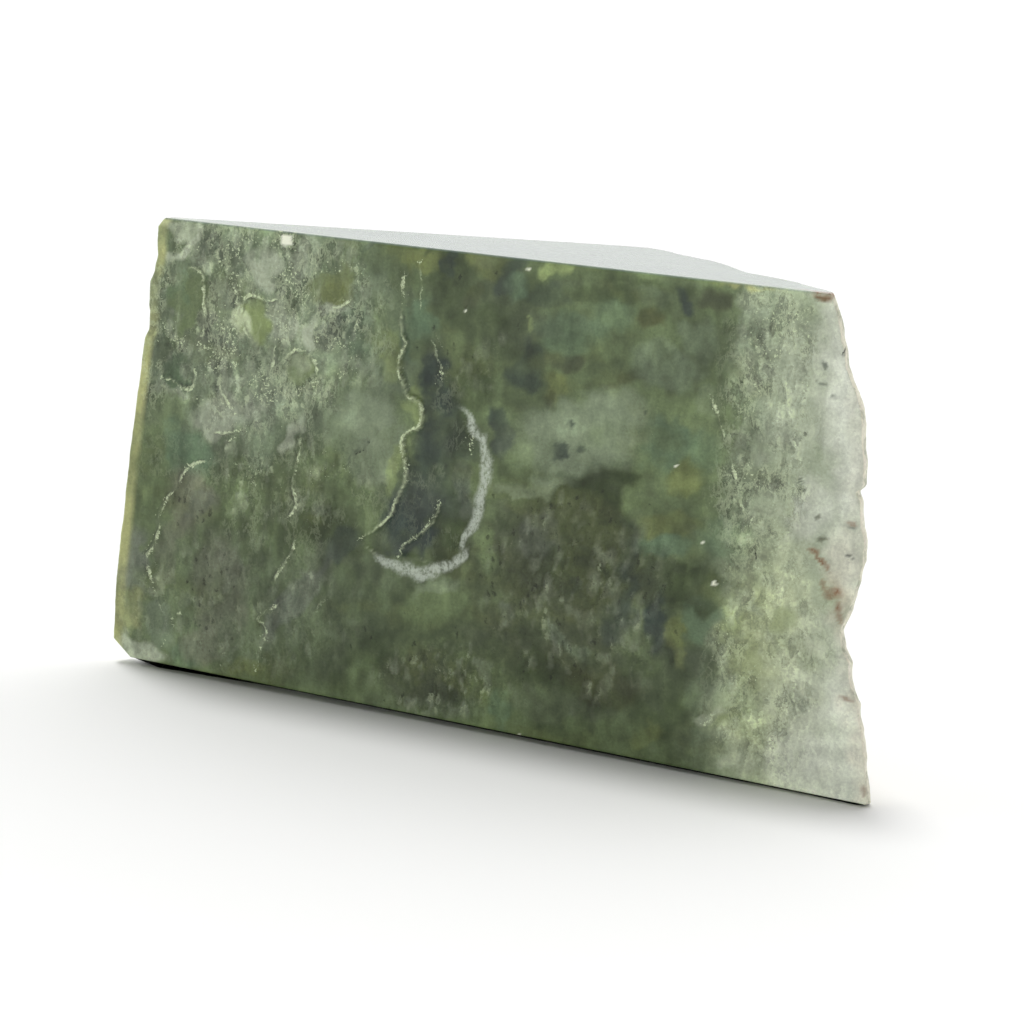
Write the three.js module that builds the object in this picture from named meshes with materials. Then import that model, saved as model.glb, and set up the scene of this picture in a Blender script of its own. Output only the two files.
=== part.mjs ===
// A sawn block of nephrite jade, one solid piece of stone.
// In plan it is a wedge: the sawn front is the long side, a second saw cut runs back from the thin left edge,
// and the boulder's natural rind closes the right, so the stone is thickest at the ridge between those two.
// The top and the foot are flat saw cuts. Millimetres, +Z up, and the sawn front faces -Y.
import * as THREE from "three";

const { clamp, lerp, mapLinear, smoothstep } = THREE.MathUtils;

// Driving dimensions
const LENGTH = 267; // along the foot, from the left edge to the rind
const HEIGHT = 150; // foot to sawn top
const LEFT_EDGE_THICKNESS = 5; // the broken left edge, front to back
const RIGHT_EDGE_THICKNESS = 5; // the rind where it meets the sawn front
const BACK_CUT_SLOPE = 0.477; // depth gained per mm of length along the back saw cut
const BACK_CUT_LEAN = 15; // how far the back saw cut shifts to the right from foot to top
const RIND_SLOPE_FOOT = 0.66; // depth gained per mm of length along the rind, at the foot and at the top
const RIND_SLOPE_TOP = 0.78;
const RIDGE_ROUNDING = 10; // how far the ridge between the back cut and the rind is worn round
const RIND_BULGE = 5; // how far the rind swells at half height
const RIND_LUMP = 2.2; // height of the lumps on the rind
const RIND_LUMP_LENGTH = 44; // length of the longest lumps
const BROKEN_CORNER_LENGTH = 10; // the lower left corner, broken off at a slant
const BROKEN_CORNER_HEIGHT = 8;

// How far each end of the sawn front stands in from the full length, as [height, inset].
// The left end is a broken edge and the right end is the rind.
const LEFT_INSETS = [
  [0, 0], [20, 0.2], [45, 2], [72, 4.5], [95, 7.5],
  [112, 10], [121, 9.5], [131, 11], [146, 12.3], [150, 15],
];
const RIGHT_INSETS = [
  [0, 0], [8, 0.2], [27, 4.5], [40, 7.5], [51, 11.5], [65, 8.5],
  [80, 7], [95, 9.3], [110, 9.9], [121, 12.5], [136, 18.7], [150, 23.2],
];

// Facets along the length and up the height
const LENGTH_FACETS = 44;
const HEIGHT_FACETS = 28;

// Value of a list of [height, value] points at a height, straight between the points.
function valueAt(points, height) {
  const above = Math.max(1, points.findIndex((point) => point[0] >= height));
  const [lowHeight, lowValue] = points[above - 1];
  const [highHeight, highValue] = points[above];
  return mapLinear(height, lowHeight, highHeight, lowValue, highValue);
}

// The smaller of two depths, with the corner where they cross worn round.
function roundedMin(first, second, rounding) {
  const share = clamp(0.5 + (0.5 * (second - first)) / rounding, 0, 1);
  return lerp(second, first, share) - rounding * share * (1 - share);
}

// Depth from the sawn front to the back saw cut, a plane that starts at the left edge.
function backCutDepth(fromLeft, height) {
  const fromCut = fromLeft - (BACK_CUT_LEAN * height) / HEIGHT;
  return LEFT_EDGE_THICKNESS + BACK_CUT_SLOPE * Math.max(0, fromCut);
}

// Lumps of the rind between about -1.6 and 1.6: two crossed pairs of waves, the second pair shorter.
function rindLumps(fromLeft, height) {
  const turn = (2 * Math.PI) / RIND_LUMP_LENGTH;
  const long = Math.sin(turn * (fromLeft + 0.6 * height)) * Math.sin(0.7 * turn * (height - 0.4 * fromLeft) + 1);
  const short = Math.sin(1.7 * turn * (height + 0.25 * fromLeft)) * Math.sin(1.3 * turn * fromLeft + 2);
  return long + 0.6 * short;
}

// Depth from the sawn front to the natural rind: a slope from the right edge, swollen and lumpy.
function rindDepth(fromLeft, height) {
  const fromRind = LENGTH - valueAt(RIGHT_INSETS, height) - fromLeft;
  const slope = lerp(RIND_SLOPE_FOOT, RIND_SLOPE_TOP, height / HEIGHT);
  const swell = RIND_BULGE * Math.sin((Math.PI * height) / HEIGHT);
  const lumps = RIND_LUMP * rindLumps(fromLeft, height);
  const fade = smoothstep(fromRind, 0, RIND_LUMP_LENGTH / 2);
  return RIGHT_EDGE_THICKNESS + slope * fromRind + fade * (swell + lumps);
}

// Height of the foot: flat, but for the broken lower left corner.
function footHeight(fromLeft) {
  return Math.max(0, BROKEN_CORNER_HEIGHT * (1 - fromLeft / BROKEN_CORNER_LENGTH));
}

// Carries a point of the unit cube to the stone: along the length, front to back, and up.
function place(along, back, up) {
  const height = up * HEIGHT;
  const fromLeft = lerp(valueAt(LEFT_INSETS, height), LENGTH - valueAt(RIGHT_INSETS, height), along);
  const depth = roundedMin(backCutDepth(fromLeft, height), rindDepth(fromLeft, height), RIDGE_ROUNDING);
  return [fromLeft, back * depth, Math.max(height, footHeight(fromLeft))];
}

function nephriteBlock() {
  const geometry = new THREE.BoxGeometry(1, 1, 1, LENGTH_FACETS, 1, HEIGHT_FACETS).translate(0.5, 0.5, 0.5);
  const position = geometry.getAttribute("position");
  for (let i = 0; i < position.count; i += 1) {
    position.setXYZ(i, ...place(position.getX(i), position.getY(i), position.getZ(i)));
  }
  // The origin is the middle of the block's box, on the foot.
  geometry.computeBoundingBox();
  const middle = geometry.boundingBox.getCenter(new THREE.Vector3());
  geometry.translate(-middle.x, -middle.y, 0);
  geometry.computeVertexNormals();
  const nephrite = new THREE.MeshStandardMaterial({ color: 0x5c6b4c, roughness: 0.45, metalness: 0 });
  const mesh = new THREE.Mesh(geometry, nephrite);
  mesh.name = "nephrite_block";
  return mesh;
}

const part = new THREE.Group();
part.add(nephriteBlock());

export default part;
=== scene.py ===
"""A sawn block of nephrite jade on a plain white stage.

The stone is one closed surface on a grid. Its columns run round the plan and its rows run from the foot
to the top. Inside the script the stone has its own coordinates in millimetres: along from the left end,
back from the sawn front, and up from the foot. Marks on the sawn front are placed by pixels of the 1024
by 1024 picture frame, which the camera below ties to the stone.
"""

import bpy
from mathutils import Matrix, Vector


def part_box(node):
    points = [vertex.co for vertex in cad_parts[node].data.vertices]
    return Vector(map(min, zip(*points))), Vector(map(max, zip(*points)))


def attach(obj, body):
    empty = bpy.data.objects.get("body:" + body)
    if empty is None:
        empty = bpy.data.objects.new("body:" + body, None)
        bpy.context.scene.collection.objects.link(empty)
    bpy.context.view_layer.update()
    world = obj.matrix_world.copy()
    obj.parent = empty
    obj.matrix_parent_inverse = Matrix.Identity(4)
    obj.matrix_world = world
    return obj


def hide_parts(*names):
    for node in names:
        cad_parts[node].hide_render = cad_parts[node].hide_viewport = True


bl_info = {
    "name": "Nephrite Block",
    "version": (1, 0, 0),
    "blender": (4, 5, 0),
    "location": "View3D > Sidebar > Nephrite",
    "description": "Adds a sawn block of nephrite jade and a plain studio stage",
    "category": "Add Mesh",
}

import functools
import itertools
import math
from typing import NamedTuple

import bpy
import numpy as np
from bpy.props import FloatProperty, FloatVectorProperty, PointerProperty
from mathutils import Matrix, Vector

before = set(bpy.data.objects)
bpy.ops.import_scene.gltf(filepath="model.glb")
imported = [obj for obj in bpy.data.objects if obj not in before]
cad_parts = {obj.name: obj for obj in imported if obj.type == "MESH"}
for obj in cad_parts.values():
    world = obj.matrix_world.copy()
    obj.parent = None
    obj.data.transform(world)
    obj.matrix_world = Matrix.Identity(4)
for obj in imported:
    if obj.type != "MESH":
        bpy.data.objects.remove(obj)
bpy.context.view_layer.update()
NODE = "nephrite_block"
LOW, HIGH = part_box(NODE)

MM = 0.001
LENGTH = (HIGH.x - LOW.x) / MM
HEIGHT = (HIGH.z - LOW.z) / MM

# The camera in the stone's own millimetres: its place, how it is turned, and its focal length in pixels
CAMERA_PLACE = (505.1, -756.4, 238.0)
CAMERA_TURN = math.radians(25.45)
CAMERA_DIP = math.radians(11.22)
CAMERA_ROLL = math.radians(3.63)
FOCAL_PX = 2772
FRAME_PX = 1024
SENSOR_MM = 36

# Towards the brightest side of the surround, how high the low light in front reaches, as the sine of
# its height, and the way that the overhead light travels
BRIGHT_SIDE = (-0.5, 0.87, 0.0)
FILL_TOP = 0.3
LAMP_COURSE = (0.25, -0.12, -1.0)

# Grid of the surface. The broken left part of the front has finer columns than the sawn right part.
FRONT_COLUMNS = 360
ROUGH_COLUMNS = 228
ROUGH_SHARE = 0.52
EDGE_COLUMNS = 6
BACK_COLUMNS = 84
WALL_ROWS = 198
CAP_SHARES = (0.0, 0.015, 0.1, 0.3, 0.55, 0.8)

# One pixel of the picture on the sawn front, about, and how far in pixels a line has any effect
PX_MM = 0.35
FAR_PX = 60

# Marks that the vertices carry for the material, and the sizes of its fine patterns in mm
MARKS = ("gritty", "speckled", "crumbly", "line_offset", "line_half", "line_tone", "scuff", "chalk",
         "stained", "rind", "creased", "behind", "top")
GRAIN_MM = 0.9
BEND_MM = 7
BEND_REACH_MM = 4
FIBRE_MM = 1.1
FIBRE_SQUEEZE = 0.55
FIBRE_LEAN = math.radians(8)
CELL_MM = 2.2
FLAKE_SKEW_MM = 2.4
CREASE_MM = 5
CRUMB_MM = 0.8
BUMP_MM = 0.6

# Behind this depth in mm a point isn't on the sawn front. Then how strongly the stone bends light, and
# how far light spreads inside it.
FRONT_MM = 3
STONE_IOR = 1.61
GLOW_MM = 2.5

# Noise: numbers that turn a lattice corner into a value that looks random, the shift of the lattice
# from
# one seed to the next, and how much weaker each finer layer of a cloud is
HASH_WEIGHTS = (127.1, 311.7, 74.7)
HASH_GAIN = 43758.5453
SEED_STEP = 19.19
CLOUD_FADE = 0.55

# How far the gap under the foot runs in for each mm of its height, and how much lower it is at the back
FOOT_GAP_RUN = 4.0
FOOT_GAP_FALL = 0.8

# How far each end of the sawn front stands in from the full length, as (height, inset) in mm.
# The left end is a broken edge with small chips, and the right end is the rind.
LEFT_INSETS = (
    (0, 0.4), (15, 0.4), (22, 0.6), (35, 1.5), (43, 2.1), (47, 2.7), (64, 3.8), (72, 4.5), (83, 5.6),
    (89, 6.1), (96, 7.0), (106, 7.9), (110, 8.5), (113, 10.0), (119, 10.0), (121, 9.4), (129, 9.6),
    (132, 11.0), (138, 12.2), (141, 11.9), (147, 12.0), (150, 14.3),
)
RIGHT_INSETS = (
    (0, 0.4), (5, 0.4), (10, 1.3), (16, 3.0), (23, 4.4), (27, 5.6), (30, 5.7), (34, 7.9), (39, 9.6),
    (42, 9.8), (46, 12.4), (51, 13.4), (58, 11.0), (65, 8.9), (70, 8.4), (74, 8.3), (79, 8.3),
    (83, 9.7), (90, 10.3), (93, 11.9), (95, 10.0), (100, 10.3), (115, 12.3), (122, 14.1), (129, 18.0),
    (136, 19.8), (145, 22.9), (150, 24.7),
)


def linear(hex_colour):
    """Turns an sRGB hex value into linear red, green and blue."""
    srgb = np.array([int(hex_colour[i:i + 2], 16) / 255 for i in (1, 3, 5)])
    return np.where(srgb <= 0.04045, srgb / 12.92, ((srgb + 0.055) / 1.055) ** 2.4)


def size(name, description, millimetres):
    """A length property whose default is given in millimetres."""
    return FloatProperty(name=name, description=description, default=millimetres * MM, min=0,
                         unit="LENGTH", precision=4)


def colour(name, description, hex_colour):
    """A colour property whose default is given as an sRGB hex value."""
    return FloatVectorProperty(name=name, description=description, default=linear(hex_colour),
                               subtype="COLOR", min=0, max=1)


def number(name, description, value):
    """A property that is a plain number."""
    return FloatProperty(name=name, description=description, default=value)


class NephriteSizes(bpy.types.PropertyGroup):
    """Sizes of the block that aren't fixed by the frame."""

    left_thickness: size("Left edge", "Thickness of the broken left edge", 5)
    right_thickness: size("Right edge", "Thickness of the rind where it meets the sawn front", 5)
    back_cut_slope: number("Back cut slope", "Depth gained per length along the back saw cut", 0.477)
    back_cut_lean: size("Back cut lean", "How far the back saw cut shifts to the right from foot to top", 15)
    rind_slope_foot: number("Rind slope, foot", "Depth gained per length along the rind", 0.66)
    rind_slope_top: number("Rind slope, top", "Depth gained per length along the rind", 0.78)
    ridge_rounding: size("Ridge rounding", "How far the ridge at the back is worn round", 10)
    rind_bulge: size("Rind swell", "How far the rind swells at half height", 5)
    rind_lump: size("Rind lumps", "Height of the lumps on the rind", 2.2)
    rind_lump_length: size("Rind lump length", "Length of the longest lumps on the rind", 44)
    rind_pits: size("Rind pits", "Depth of the pits and knobs on the rind", 1.1)
    corner_length: size("Broken corner length", "Lower left corner, broken off along the foot", 10)
    corner_height: size("Broken corner height", "Lower left corner, broken off up the edge", 8)
    edge_chips: size("Edge chips", "Size of the small chips along the broken edges", 0.35)
    rim: size("Rim", "Width of the worn rim along the top edges", 0.5)
    foot_gap: size("Foot gap", "Height of the worn gap under the front of the foot, at its left end", 1.9)
    foot_gap_right: size("Foot gap, right", "Height of the same gap at its right end", 0.55)
    flake_step: size("Flake steps", "Height of the largest flaky steps on the left of the sawn front", 0.22)
    plate_lift: size("Plate lift", "How far the smooth plates stand out of the crushed stone", 0.3)
    scuff_depth: size("Scuff depth", "Depth of the curved scuff on the sawn front", 0.35)


class NephriteColours(bpy.types.PropertyGroup):
    """The stone's colours."""

    forest: colour("Forest", "Dark green body", "#344022")
    moss: colour("Moss", "Olive green body", "#576544")
    fern: colour("Fern", "Mid green body", "#677750")
    sage: colour("Sage", "Grey green", "#707f65")
    sea: colour("Sea", "Blue green", "#5e7559")
    lime: colour("Lime", "Bright yellow green", "#84945f")
    olive: colour("Olive", "Yellow olive", "#6a7444")
    slate: colour("Slate", "Charcoal", "#313d36")
    ash: colour("Ash", "Grey with a breath of violet", "#686f61")
    celadon: colour("Celadon", "Pale green cloud", "#869478")
    mist: colour("Mist", "Pale grey green", "#adb69e")
    frost: colour("Frost", "Palest green next to the rind", "#dee2d4")
    umber: colour("Umber", "Brown grey", "#444a34")
    taupe: colour("Taupe", "Warm grey", "#686c57")
    bark: colour("Bark", "Dark brown", "#3e4022")
    straw: colour("Straw", "Thin edge that light comes through", "#b5b87e")
    chalk: colour("Chalk", "White inclusion", "#f0f3de")
    # real pale flake edges, and also the painted highlight on raised relief of the front
    lip: colour("Lip", "Pale edge of a flake", "#d0ddb5")
    # real dark specks, and also painted shade: the dark side of lines and creases, and the underside of the
    # foot
    scuff: colour("Scuff", "White stone dust in a scuff", "#c9d2c4")
    speck: colour("Speck", "Dark mineral speck", "#0d0d0d")
    rust: colour("Rust", "Iron stain", "#79410d")
    # painted reflection of the bright surround on the sawn top, together with its dry grey bloom
    haze: colour("Haze", "Dry grey bloom of the sawn top", "#7f8d86")
    tan: colour("Tan", "Weathered rind away from the cut", "#9a8c70")
    crust: colour("Crust", "Weathered rind at the cut", "#dedbc8")


class StageSettings(bpy.types.PropertyGroup):
    """The floor and the lights."""

    floor_width: size("Floor width", "Side of the square floor", 6000)
    floor_colour: colour("Floor", "Pale matt floor", "#f6f6f5")
    sky_back: number("Surround, back", "Brightness of the white surround behind", 1.4)
    sky_front: number("Surround, front", "Brightness of the white surround in front", 0.04)
    fill: number("Low light", "Brightness of the low light in front", 2.9)
    lamp: number("Overhead light", "Strength of the soft light overhead", 1.35)
    lamp_spread: FloatProperty(name="Overhead light spread",
                               description="Width of the overhead light as the block sees it",
                               default=math.radians(14), subtype="ANGLE")


class Patch(NamedTuple):
    """A cloud: its colour, middle and half sizes in pixels, tilt in degrees, strength, and soft edge."""

    colour: str
    x: float
    y: float
    half_x: float
    half_y: float
    tilt: float = 0
    strength: float = 0.8
    soft: float = 0.3


class Line(NamedTuple):
    """A thin mark: its points and half width in pixels, the step in mm, down on the right of its course,
    its tone from dark at 0 to pale at 1, and how far in mm the step fades out."""

    points: tuple
    half: float = 0.8
    step: float = 0.3
    tone: float = 1.0
    reach: float = 4


def fields(*rows):
    """Patches without a colour, from rows of their other values."""
    return tuple(Patch("", *row) for row in rows)


# Clouds of colour on the sawn front, later ones over earlier ones
PATCHES = tuple(itertools.starmap(Patch, (
    # large fields
    ("sage", 270, 335, 150, 115, 0, 0.85), ("celadon", 262, 352, 120, 80, 0, 0.5, 0.5),
    ("moss", 270, 545, 150, 110, 0, 0.6), ("moss", 560, 330, 165, 75, 8, 0.6),
    ("umber", 552, 590, 100, 92), ("moss", 600, 725, 110, 40, 11, 0.7),
    ("celadon", 790, 420, 64, 210, 6, 0.85, 0.4), ("mist", 818, 420, 58, 210, 6, 0.85, 0.6),
    ("celadon", 792, 665, 92, 170, 2, 0.8, 0.4), ("mist", 815, 670, 78, 170, 2, 0.85, 0.5),
    ("frost", 858, 430, 30, 170, -2, 0.8, 0.7), ("frost", 808, 512, 24, 34, 0, 0.45),
    ("frost", 845, 735, 58, 100, 8, 0.75, 0.6),
    # upper left
    ("mist", 178, 227, 15, 9, 5, 0.6), ("ash", 203, 247, 15, 18, 20, 0.5),
    ("mist", 184, 242, 5, 27, 38), ("celadon", 231, 240, 13, 13), ("mist", 266, 266, 14, 20, 5, 0.75),
    ("mist", 304, 256, 9, 22, 8, 0.4), ("fern", 190, 302, 13, 34, 8, 0.95, 0.25),
    ("sea", 180, 290, 6, 16, 8, 0.5), ("ash", 208, 334, 7, 24, 2, 0.85),
    ("ash", 226, 292, 17, 14, 0, 0.6), ("ash", 226, 362, 8, 30, -6, 0.6),
    ("lip", 245, 322, 5, 18, -14, 0.7), ("lime", 260, 318, 15, 22, -6, 0.95, 0.2),
    ("lip", 246, 320, 7, 22, -12, 0.75), ("mist", 284, 318, 12, 30, 0, 0.65),
    ("olive", 334, 286, 20, 20, 0, 0.95), ("mist", 335, 309, 18, 5, 10),
    ("mist", 312, 332, 9, 16, 4, 0.85), ("ash", 340, 332, 20, 14, -20, 0.75),
    ("lime", 300, 367, 17, 17, 0, 0.6, 0.2), ("mist", 298, 362, 13, 11, 0, 0.45),
    ("forest", 374, 260, 14, 20, 4, 0.6), ("slate", 366, 246, 5, 8, 10, 0.7),
    ("moss", 408, 268, 20, 26, 0, 0.9), ("olive", 408, 254, 18, 8, 6, 0.6),
    ("sea", 360, 330, 20, 26, -20, 0.5), ("fern", 388, 345, 10, 40, -4, 0.7),
    ("lime", 395, 356, 9, 26, 0, 0.95), ("lime", 412, 412, 9, 20, 0, 0.75),
    ("celadon", 350, 408, 44, 40, 0, 0.35), ("forest", 170, 350, 12, 24, 6, 0.6),
    ("sea", 178, 372, 16, 12, 6, 0.9, 0.25), ("forest", 178, 372, 15, 11, 6, 0.45),
    ("mist", 180, 387, 16, 5, 12, 0.55), ("fern", 172, 408, 18, 22, 0, 0.7),
    ("fern", 340, 385, 34, 22, 0, 0.5), ("celadon", 366, 418, 24, 20, -10), ("mist", 228, 412, 26, 18),
    ("ash", 268, 410, 22, 22, 0, 0.5),
    # lower left
    ("sea", 188, 452, 30, 26, 0, 0.85), ("moss", 150, 462, 14, 40, 4),
    ("taupe", 186, 502, 27, 34, -14, 0.9, 0.35), ("ash", 196, 508, 12, 12, 0, 0.5),
    ("moss", 236, 474, 22, 22, 0, 0.85), ("fern", 226, 494, 9, 12, 10),
    ("mist", 298, 438, 6, 20, 14, 0.85), ("sage", 270, 448, 16, 26, 0, 0.6),
    ("celadon", 370, 452, 30, 28, -14, 0.6), ("lime", 394, 470, 9, 30, 8, 0.7),
    ("forest", 316, 520, 24, 16, -40), ("forest", 262, 545, 40, 36, -10, 0.5),
    ("ash", 137, 562, 11, 30, 4, 0.85), ("moss", 162, 582, 12, 26, 10), ("fern", 181, 598, 7, 16, 14),
    ("taupe", 222, 592, 26, 50, 0, 0.9), ("sage", 156, 624, 15, 26, 0, 0.85),
    ("sea", 186, 650, 18, 18, 0, 0.7), ("taupe", 206, 640, 26, 24, -6, 0.85),
    ("taupe", 170, 545, 14, 34, 10, 0.7), ("ash", 294, 602, 13, 56, 38, 0.9),
    ("slate", 340, 545, 24, 11, -32, 0.7), ("moss", 345, 572, 26, 14, -20, 0.6),
    ("moss", 385, 604, 26, 20, 0, 0.9), ("moss", 242, 640, 26, 30, 0, 0.6),
    ("olive", 246, 668, 20, 12, 10, 0.6), ("moss", 340, 645, 34, 36, 0, 0.75),
    ("forest", 374, 660, 22, 16, 8, 0.6), ("fern", 316, 640, 8, 22, 12, 0.6),
    ("straw", 122, 612, 12, 24, 10, 0.5, 0.5), ("mist", 140, 650, 26, 11, 30, 0.95),
    ("sage", 262, 608, 130, 58, 4, 0.26, 0.6),
    # hollow and its surroundings
    ("sea", 412, 330, 13, 42, 4), ("sea", 428, 324, 12, 12, 0, 0.65), ("fern", 416, 354, 9, 16),
    ("slate", 437, 382, 15, 30, -3, 0.95), ("forest", 474, 382, 24, 32, 0, 0.7),
    ("slate", 437, 440, 25, 60, 8, 0.8, 0.4), ("forest", 462, 440, 11, 24, 12, 0.85),
    ("slate", 414, 516, 42, 28, -45, 1.0, 0.25), ("slate", 398, 545, 18, 13, -10, 1.0),
    ("forest", 452, 520, 20, 32, 25), ("ash", 466, 490, 9, 30, 10, 0.5),
    ("slate", 499, 430, 8, 28, 2, 0.85), ("fern", 434, 604, 30, 25, -10, 0.9),
    ("celadon", 436, 588, 24, 9, -4, 0.5), ("fern", 481, 546, 10, 20, 4, 0.85),
    ("moss", 500, 520, 9, 24, 0, 0.6), ("slate", 432, 420, 16, 62, 8, 0.75, 0.4),
    ("slate", 456, 470, 20, 46, 8, 0.5), ("moss", 478, 582, 22, 30, 0, 0.4),
    # top middle
    ("olive", 421, 260, 17, 10, 6), ("slate", 444, 264, 6, 12, 10, 0.7),
    ("olive", 482, 268, 22, 13, 6, 0.85), ("slate", 505, 280, 9, 24, 24, 0.85),
    ("bark", 467, 295, 9, 8, 0, 0.6), ("lime", 556, 271, 15, 9, 6, 1.0), ("sea", 514, 290, 11, 12),
    ("slate", 550, 300, 28, 14, 8, 0.5), ("forest", 622, 280, 32, 8, 7, 0.5),
    ("sea", 566, 338, 34, 18, 4, 0.55), ("sea", 606, 322, 22, 20, 0, 0.4),
    ("forest", 508, 322, 16, 22, 0, 0.5), ("forest", 605, 298, 26, 9, 6, 0.5), ("lime", 522, 330, 4, 9),
    ("bark", 649, 324, 17, 12, 0, 0.75), ("sage", 652, 300, 20, 10, 6, 0.3),
    ("slate", 525, 365, 16, 21, 10, 0.75), ("umber", 560, 360, 20, 9, 4),
    ("olive", 554, 385, 13, 12, -10, 0.9), ("bark", 545, 395, 9, 6, 0, 0.6), ("moss", 600, 378, 26, 13),
    ("bark", 618, 388, 30, 4, -6, 0.5), ("sage", 664, 372, 34, 20, 0, 0.65),
    ("slate", 682, 300, 7, 14, -28, 0.9), ("umber", 716, 302, 20, 13, 8),
    ("sage", 700, 340, 18, 20, 0, 0.5), ("moss", 734, 331, 9, 16, 0, 0.6),
    ("celadon", 752, 330, 14, 20, 0, 0.6), ("olive", 740, 284, 32, 5, 8, 0.75),
    # middle
    ("celadon", 576, 434, 70, 38, -10), ("celadon", 600, 420, 50, 20, -14, 0.3),
    ("celadon", 528, 484, 34, 9, -6, 0.6), ("slate", 569, 425, 5, 4, 0, 0.7), ("slate", 559, 456, 6, 6),
    ("slate", 574, 450, 6, 5, -20, 0.7), ("slate", 641, 419, 4, 6, 0, 0.7),
    ("forest", 606, 484, 34, 11, -14, 0.85), ("slate", 662, 440, 20, 22, 20, 0.55),
    ("sea", 662, 446, 24, 24, 20, 0.65), ("sea", 700, 456, 18, 22, 10, 0.65),
    ("fern", 704, 414, 18, 22, 10, 0.6), ("olive", 680, 482, 20, 16),
    ("fern", 646, 506, 20, 24, 0, 0.75), ("olive", 672, 526, 28, 12, 14, 0.75),
    ("sea", 664, 550, 26, 11, 10, 0.85), ("sea", 722, 545, 28, 24, 0, 0.6),
    ("fern", 712, 500, 16, 24, 0, 0.6), ("fern", 516, 452, 13, 24, 0, 0.5),
    ("moss", 656, 478, 14, 14, 0, 0.5), ("moss", 601, 346, 20, 9, 0, 0.45),
    ("celadon", 704, 400, 13, 16, 10, 0.35),
    # lower middle
    ("forest", 590, 556, 60, 40, 0, 0.5), ("ash", 535, 540, 20, 22, 0, 0.6),
    ("slate", 630, 560, 12, 40, 0, 0.7), ("slate", 576, 582, 8, 8, 0, 0.6),
    ("moss", 534, 629, 22, 10, 20, 0.4), ("forest", 536, 664, 28, 20, 0, 0.75),
    ("ash", 500, 612, 10, 14, -30, 0.6), ("sage", 572, 640, 32, 4, 38, 0.5),
    ("bark", 604, 686, 38, 20, 6, 0.6), ("umber", 424, 676, 40, 26, 10, 0.75),
    ("sage", 452, 700, 36, 12, 11, 0.25), ("sea", 500, 706, 8, 18), ("fern", 530, 710, 20, 20, 0, 0.7),
    ("slate", 622, 616, 16, 24, 0, 0.6), ("slate", 657, 620, 11, 26, 4, 0.95, 0.35),
    ("forest", 688, 586, 24, 20, 0, 0.9), ("olive", 673, 644, 8, 30, 4),
    ("sea", 697, 620, 17, 20, -20, 0.6), ("forest", 668, 712, 30, 26, 0, 0.5),
    ("olive", 648, 732, 16, 10, 0, 0.5), ("slate", 706, 744, 12, 13, 0, 0.6),
    ("sage", 690, 700, 14, 20, -30, 0.25), ("forest", 505, 684, 90, 34, 10, 0.3, 0.6),
    # right
    ("mist", 757, 308, 16, 20, 0, 0.3, 0.6), ("sage", 775, 312, 6, 28, 0, 0.5, 0.5),
    ("moss", 728, 420, 8, 40, -12, 0.6), ("lime", 727, 624, 12, 20, 0, 0.6),
    ("forest", 708, 600, 13, 16, 0, 0.85), ("lime", 752, 650, 26, 70, 8, 0.35, 0.6),
    ("lip", 784, 588, 26, 22, 0, 0.35), ("celadon", 787, 623, 17, 14, 0, 0.7, 0.4),
    ("lime", 785, 622, 15, 12, 0, 0.5, 0.4), ("lip", 772, 665, 16, 24, 0, 0.3),
    ("lime", 750, 668, 18, 26, 0, 0.5), ("fern", 748, 702, 18, 14), ("moss", 707, 670, 10, 12),
    ("sage", 724, 693, 12, 12, 0, 0.6), ("mist", 714, 716, 17, 6, -36, 0.7), ("lime", 738, 720, 20, 12),
    ("lip", 748, 729, 24, 16, 0, 0.65), ("mist", 754, 754, 26, 20, 0, 0.85),
    ("lip", 780, 700, 60, 100, 6, 0.25, 0.6), ("straw", 768, 640, 44, 110, 0, 0.22, 0.6),
    ("frost", 806, 758, 28, 26, 0, 0.35, 0.5), ("frost", 848, 680, 14, 50, 0, 0.4, 0.5),
    ("crust", 850, 650, 14, 60, -4, 0.45, 0.6), ("crust", 862, 750, 16, 70, -6, 0.7, 0.6),
    ("crust", 868, 440, 12, 110, 0, 0.25, 0.6), ("crust", 846, 570, 16, 40, 10, 0.5, 0.6),
    ("tan", 836, 600, 11, 26, -12, 0.4, 0.6), ("bark", 824, 299, 9, 4, 20),
    ("slate", 826, 371, 3, 3, 0, 0.7), ("slate", 822, 390, 4, 3, 20, 0.7),
    ("slate", 839, 403, 3, 3, 0, 0.6), ("slate", 794, 484, 3, 4, 0, 0.7),
    ("bark", 819, 518, 4, 3, 30, 0.7), ("slate", 854, 530, 5, 3, 20), ("slate", 853, 561, 3, 3),
    ("bark", 828, 547, 4, 4, 0, 0.7), ("slate", 800, 708, 7, 6, 0, 0.35),
    ("straw", 752, 287, 28, 4, 8, 0.6, 0.4),
)))

# Where each fine pattern shows. Grit is crushed stone between smooth plates.
GRITTY = fields(
    (262, 320, 120, 105, 0, 1.0), (290, 450, 105, 70, 0, 0.65), (230, 610, 130, 70, 0, 0.45),
    (440, 680, 60, 36, 10, 0.7), (570, 600, 95, 105, 0, 0.5), (766, 420, 40, 170, 6, 1.0),
    (762, 650, 50, 115, 0, 1.0), (480, 370, 24, 30, 0, 0.5),
)
PLATES = fields(
    (190, 302, 13, 34, 8, 0.9, 0.2), (260, 318, 14, 22, -6, 0.95, 0.2), (266, 266, 12, 18, 5, 0.7),
    (334, 286, 18, 18, 0, 0.9), (300, 367, 15, 15, 0, 0.85, 0.2), (312, 332, 8, 15, 4, 0.9, 0.2),
    (395, 262, 32, 22, 5, 0.7), (366, 432, 34, 40), (178, 372, 15, 11, 6), (190, 452, 28, 24, 0, 0.5),
    (787, 623, 17, 14, 0, 0.95, 0.2), (697, 620, 17, 20, -20, 0.9), (590, 430, 80, 42, -10, 0.4, 0.4),
)
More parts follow.
